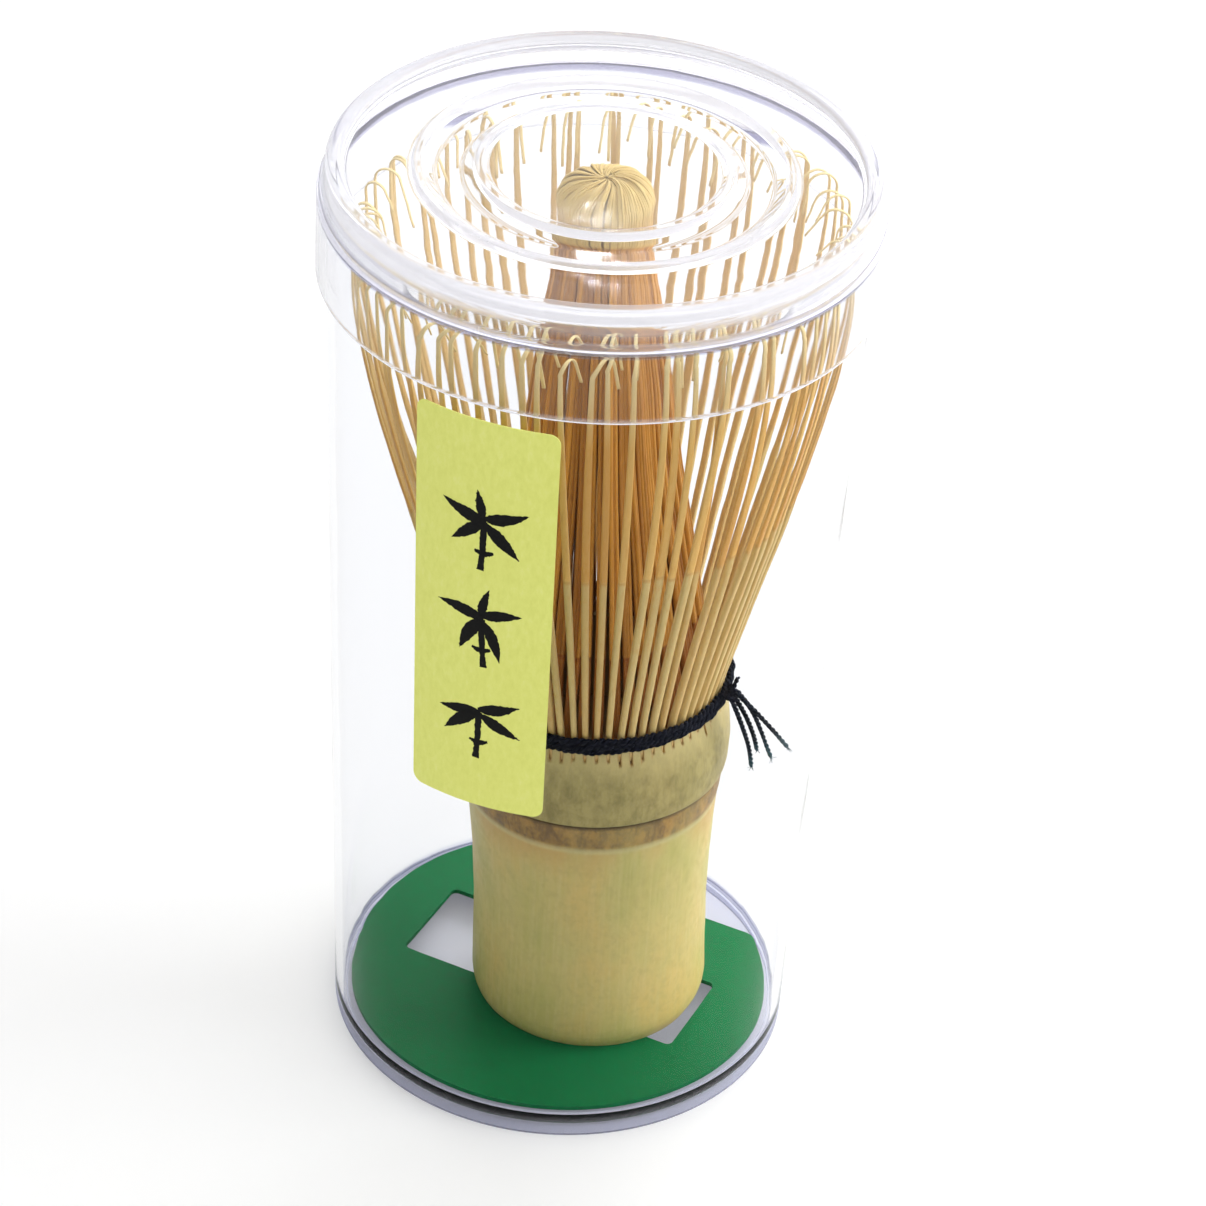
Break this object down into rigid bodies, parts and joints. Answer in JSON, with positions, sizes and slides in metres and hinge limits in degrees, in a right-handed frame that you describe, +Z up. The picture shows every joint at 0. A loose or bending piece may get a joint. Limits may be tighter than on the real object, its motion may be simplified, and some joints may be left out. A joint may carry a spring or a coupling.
{
  "type": "bamboo tea whisk in clear case",
  "caption": "Bamboo matcha tea whisk with flared fine tines, a bound handle and a clear tapered case with press-on lid, card insert and paper label.",
  "frame": {"origin": "centre of the case's foot, on the surface it stands on", "axes": "+Z up along the case's axis; -Y is the front, which the label faces to the left of"},
  "size_m": [0.0648, 0.0648, 0.1216],
  "materials": {
    "clear_plastic": "clear moulded, glossy",
    "lid_plastic": "clear moulded, glossy",
    "label_paper": "matt fibrous paper, yellow-green",
    "green_card": "matt green card",
    "bamboo_culm": "satin bamboo skin, light olive tan",
    "bamboo_outer": "satin split bamboo, golden tan",
    "bamboo_inner": "satin split bamboo, darker golden brown",
    "thread": "twisted cotton thread, near black"
  },
  "bodies": {
    "case": {"cup": "clear_plastic", "label": "label_paper"},
    "card": {"card": "green_card"},
    "whisk": {"culm": "bamboo_culm", "outer_tines_1": "bamboo_outer", "outer_tines_2": "bamboo_outer", "outer_tines_3": "bamboo_outer", "outer_tines_4": "bamboo_outer", "outer_tines_5": "bamboo_outer", "outer_tines_6": "bamboo_outer", "outer_tines_7": "bamboo_outer", "outer_tines_8": "bamboo_outer", "inner_tines_1": "bamboo_inner", "inner_tines_2": "bamboo_inner", "inner_tines_3": "bamboo_inner", "inner_tines_4": "bamboo_inner", "inner_tines_5": "bamboo_inner", "inner_tines_6": "bamboo_inner", "inner_tines_7": "bamboo_inner", "inner_tines_8": "bamboo_inner", "thread_winding": "thread", "thread_knot": "thread", "thread_end_1": "thread", "thread_end_2": "thread", "thread_end_3": "thread", "thread_end_4": "thread"},
    "lid": {"lid": "lid_plastic"}
  },
  "joints": [
    {"name": "card_lift", "type": "slide", "parent": "case", "child": "card", "axis": [0, 0, 1], "range_m": [0, 0.12]},
    {"name": "whisk_lift", "type": "slide", "parent": "card", "child": "whisk", "axis": [0, 0, 1], "range_m": [0, 0.12]},
    {"name": "lid_lift", "type": "slide", "parent": "whisk", "child": "lid", "axis": [0, 0, 1], "range_m": [0, 0.04]}
  ]
}
